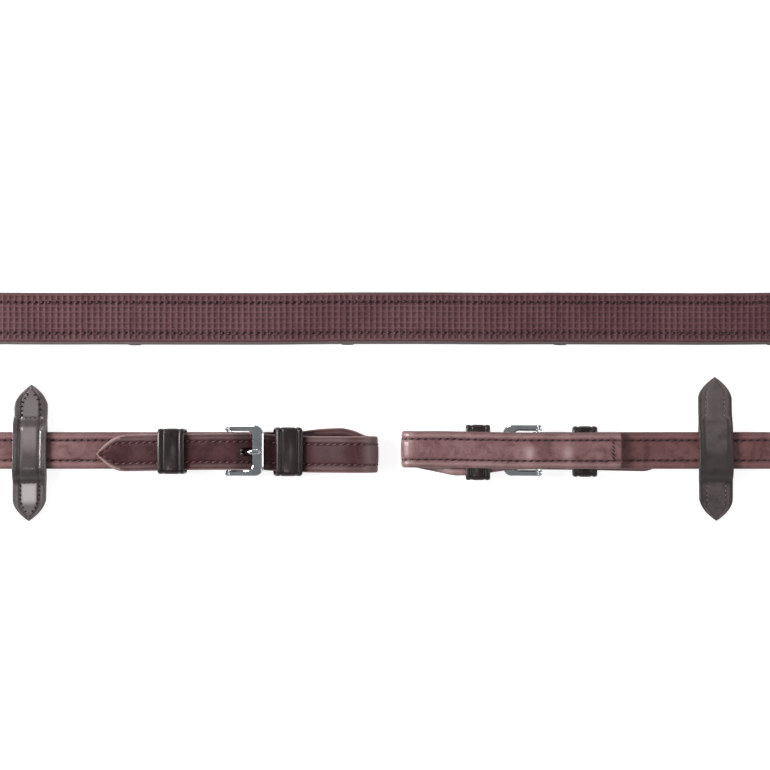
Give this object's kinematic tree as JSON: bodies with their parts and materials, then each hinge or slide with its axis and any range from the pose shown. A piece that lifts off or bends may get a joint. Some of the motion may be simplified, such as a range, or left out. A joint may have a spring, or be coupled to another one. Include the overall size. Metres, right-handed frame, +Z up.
{
  "type": "leather riding reins",
  "caption": "Pair of leather riding reins with rubber grips, buckled bit loops, sliding martingale stops and a centre buckle, laid flat with the spare length coiled.",
  "frame": {"origin": "centre of the flat underside of the second hand stop from the centre buckle, where the hand part rests on the surface", "axes": "+X along the right rein's hand part, away from the centre buckle; +Y from the bit ends to the hand part; +Z up from the surface"},
  "size_m": [0.7322, 0.1227, 0.0258],
  "materials": {
    "rein_leather": "smooth raised bridle leather, semi-gloss",
    "billet_leather": "dark bridle leather, satin",
    "backing_leather": "smooth leather, satin",
    "hand_stop_leather": "smooth leather, satin",
    "keeper_leather": "near-black polished leather, creased edges",
    "stop_leather": "grey-brown leather, glossy",
    "tie_strap": "flat woven band, matt",
    "grip_rubber": "fine square pimple texture, matt",
    "buckle_steel": "polished stainless steel"
  },
  "bodies": {
    "reins": {"bit_strap_left": "rein_leather", "bit_billet_left": "billet_leather", "grip_backing_left": "backing_leather", "grip_left": "grip_rubber", "loop_keeper_left": "keeper_leather", "tip_keeper_left": "keeper_leather", "coil_tie_left": "tie_strap", "hand_stop_left_1": "hand_stop_leather", "hand_stop_left_2": "hand_stop_leather", "hand_stop_left_3": "hand_stop_leather", "hand_stop_left_4": "hand_stop_leather", "hand_stop_left_5": "hand_stop_leather", "hand_stop_left_6": "hand_stop_leather", "hand_stop_left_7": "hand_stop_leather", "bit_strap_right": "rein_leather", "bit_billet_right": "billet_leather", "grip_backing_right": "backing_leather", "grip_right": "grip_rubber", "loop_keeper_right": "keeper_leather", "tip_keeper_right": "keeper_leather", "coil_tie_right": "tie_strap", "hand_stop_right_1": "hand_stop_leather", "hand_stop_right_2": "hand_stop_leather", "hand_stop_right_3": "hand_stop_leather", "hand_stop_right_4": "hand_stop_leather", "hand_stop_right_5": "hand_stop_leather", "hand_stop_right_6": "hand_stop_leather", "hand_stop_right_7": "hand_stop_leather", "centre_strap": "rein_leather", "centre_billet": "billet_leather", "centre_keeper": "keeper_leather"},
    "bit_frame_left": {"bit_buckle_left_frame": "buckle_steel"},
    "bit_prong_left": {"bit_buckle_left_prong": "buckle_steel"},
    "bit_frame_right": {"bit_buckle_right_frame": "buckle_steel"},
    "bit_prong_right": {"bit_buckle_right_prong": "buckle_steel"},
    "centre_frame": {"centre_buckle_frame": "buckle_steel"},
    "centre_prong": {"centre_buckle_prong": "buckle_steel"},
    "stop_left": {"stop_upper_left": "stop_leather", "stop_lower_left": "stop_leather"},
    "stop_right": {"stop_upper_right": "stop_leather", "stop_lower_right": "stop_leather"},
    "runner": {"centre_runner": "keeper_leather"}
  },
  "joints": [
    {"name": "bit_buckle_left_tilt", "type": "hinge", "parent": "reins", "child": "bit_frame_left", "pos_m": [-0.0513, -0.0571, 0.0058], "axis": [0, -1, 0], "range_deg": [0, 3]},
    {"name": "bit_buckle_left_prong_lift", "type": "hinge", "parent": "bit_frame_left", "child": "bit_prong_left", "pos_m": [-0.0513, -0.0571, 0.0058], "axis": [0, -1, 0], "range_deg": [0, 3]},
    {"name": "bit_buckle_right_tilt", "type": "hinge", "parent": "reins", "child": "bit_frame_right", "pos_m": [0.0824, -0.0571, 0.0087], "axis": [0, -1, 0], "range_deg": [0, 3]},
    {"name": "bit_buckle_right_prong_lift", "type": "hinge", "parent": "bit_frame_right", "child": "bit_prong_right", "pos_m": [0.0824, -0.0571, 0.0087], "axis": [0, -1, 0], "range_deg": [0, 3]},
    {"name": "centre_buckle_tilt", "type": "hinge", "parent": "reins", "child": "centre_frame", "pos_m": [-0.2338, 0, 0.0031], "axis": [0, 1, 0], "range_deg": [0, 3]},
    {"name": "centre_buckle_prong_lift", "type": "hinge", "parent": "centre_frame", "child": "centre_prong", "pos_m": [-0.2338, 0, 0.0031], "axis": [0, 1, 0], "range_deg": [0, 3]},
    {"name": "stop_left_slide", "type": "slide", "parent": "reins", "child": "stop_left", "axis": [1, 0, 0], "range_m": [-0.025, 0.02]},
    {"name": "stop_right_slide", "type": "slide", "parent": "reins", "child": "stop_right", "axis": [1, 0, 0], "range_m": [-0.01, 0.015]},
    {"name": "runner_slide", "type": "slide", "parent": "reins", "child": "runner", "axis": [1, 0, 0], "range_m": [-0.002, 0.009]}
  ]
}
